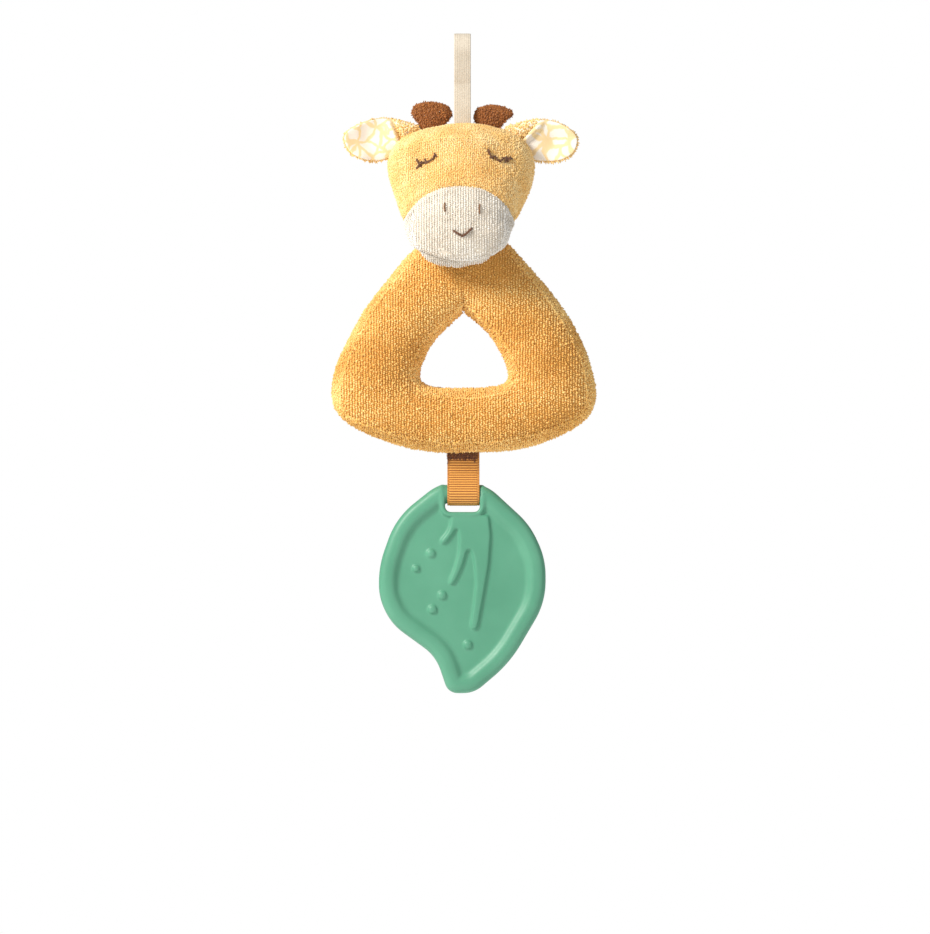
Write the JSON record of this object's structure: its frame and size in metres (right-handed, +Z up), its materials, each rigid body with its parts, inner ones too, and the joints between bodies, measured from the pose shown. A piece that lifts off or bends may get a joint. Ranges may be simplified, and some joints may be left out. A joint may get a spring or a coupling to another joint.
{
  "type": "baby rattle",
  "caption": "Hanging plush animal rattle: stuffed head over a rounded triangular grip ring, with a leaf-shaped silicone teether on a ribbon and a tape loop on top.",
  "frame": {"origin": "the point inside the top of the tape loop that rests on a hook", "axes": "+Z up, the face looks along -Y, +X to the viewer's right"},
  "size_m": [0.0812, 0.0412, 0.2053],
  "materials": {
    "yellow_terry": "matte",
    "cream_terry": "matte",
    "brown_thread": "matte",
    "printed_cotton": "matte",
    "brown_velour": "matte",
    "cream_tape": "matte",
    "orange_grosgrain": "matte",
    "dark_thread": "matte",
    "yellow_thread": "matte",
    "wadding": "matte",
    "green_silicone": "satin",
    "capsule_plastic": "satin",
    "bead_plastic": "gloss"
  },
  "bodies": {
    "loop_eye": {"hanging_loop": "cream_tape"},
    "loop_tail": {"loop_stem": "cream_tape"},
    "head": {"head_front_panel": "yellow_terry", "head_back_panel": "yellow_terry", "muzzle_panel": "cream_terry", "chin_panel": "cream_terry", "head_filling": "wadding", "rattle_base": "capsule_plastic", "rattle_cap": "capsule_plastic", "eye_left_stitches": "brown_thread", "eye_right_stitches": "brown_thread", "nostril_stitches": "brown_thread", "mouth_stitches": "brown_thread"},
    "ear_left": {"ear_left_front": "printed_cotton", "ear_left_back": "yellow_terry"},
    "ear_right": {"ear_right_front": "printed_cotton", "ear_right_back": "yellow_terry"},
    "horn_left": {"horn_left_front": "brown_velour", "horn_left_back": "brown_velour"},
    "horn_right": {"horn_right_front": "brown_velour", "horn_right_back": "brown_velour"},
    "ring": {"ring_front_panel": "yellow_terry", "ring_back_panel": "yellow_terry", "ring_filling": "wadding", "neck_stitches": "yellow_thread"},
    "ribbon_top": {"ribbon_tab": "orange_grosgrain", "ribbon_stitching": "dark_thread"},
    "ribbon_end": {"ribbon_loop": "orange_grosgrain"},
    "leaf": {"teether": "green_silicone"},
    "bead_1": {"rattle_bead_1": "bead_plastic"},
    "bead_2": {"rattle_bead_2": "bead_plastic"},
    "bead_3": {"rattle_bead_3": "bead_plastic"},
    "bead_4": {"rattle_bead_4": "bead_plastic"},
    "bead_5": {"rattle_bead_5": "bead_plastic"}
  },
  "joints": [
    {"name": "loop_twist", "type": "hinge", "parent": "loop_eye", "child": "loop_tail", "pos_m": [0, 0, -0.016], "axis": [0, 0, 1], "range_deg": [-60, 60], "stiffness_Nm_per_rad": 0.0003},
    {"name": "head_swing", "type": "hinge", "parent": "loop_tail", "child": "head", "pos_m": [0, 0, -0.0261], "axis": [1, 0, 0], "range_deg": [-45, 45]},
    {"name": "neck_bend", "type": "hinge", "parent": "head", "child": "ring", "pos_m": [0, 0.00145, -0.0589], "axis": [1, 0, 0], "range_deg": [0, 35]},
    {"name": "ribbon_swing", "type": "hinge", "parent": "ring", "child": "ribbon_top", "pos_m": [0, 0.00145, -0.1296], "axis": [1, 0, 0], "range_deg": [-45, 45]},
    {"name": "ribbon_twist", "type": "hinge", "parent": "ribbon_top", "child": "ribbon_end", "pos_m": [0, 0.00145, -0.1343], "axis": [0, 0, 1], "range_deg": [-45, 45], "stiffness_Nm_per_rad": 0.0001},
    {"name": "teether_swing", "type": "hinge", "parent": "ribbon_end", "child": "leaf", "pos_m": [0, 0.00145, -0.14275], "axis": [1, 0, 0], "range_deg": [-75, 75]},
    {"name": "ear_left_flap", "type": "hinge", "parent": "head", "child": "ear_left", "pos_m": [-0.0226, 0.0016, -0.0315], "axis": [0, 0, 1], "range_deg": [-30, 30], "stiffness_Nm_per_rad": 0.0008},
    {"name": "ear_right_flap", "type": "hinge", "parent": "head", "child": "ear_right", "pos_m": [0.0218, 0.0016, -0.0315], "axis": [0, 0, 1], "range_deg": [-30, 30], "stiffness_Nm_per_rad": 0.0008},
    {"name": "horn_left_flex", "type": "hinge", "parent": "head", "child": "horn_left", "pos_m": [-0.009, 0.0024, -0.0256], "axis": [1, 0, 0], "range_deg": [-15, 15], "stiffness_Nm_per_rad": 0.0004},
    {"name": "horn_right_flex", "type": "hinge", "parent": "head", "child": "horn_right", "pos_m": [0.009, 0.0024, -0.0256], "axis": [1, 0, 0], "range_deg": [-15, 15], "stiffness_Nm_per_rad": 0.0004},
    {"name": "bead_1_bounce", "type": "slide", "parent": "head", "child": "bead_1", "axis": [0, 0, 1], "range_m": [0, 0.006]},
    {"name": "bead_2_bounce", "type": "slide", "parent": "head", "child": "bead_2", "axis": [0, 0, 1], "range_m": [0, 0.006]},
    {"name": "bead_3_bounce", "type": "slide", "parent": "head", "child": "bead_3", "axis": [0, 0, 1], "range_m": [0, 0.006]},
    {"name": "bead_4_bounce", "type": "slide", "parent": "head", "child": "bead_4", "axis": [0, 0, 1], "range_m": [0, 0.006]},
    {"name": "bead_5_bounce", "type": "slide", "parent": "head", "child": "bead_5", "axis": [0, 0, 1], "range_m": [0, 0.006]}
  ]
}
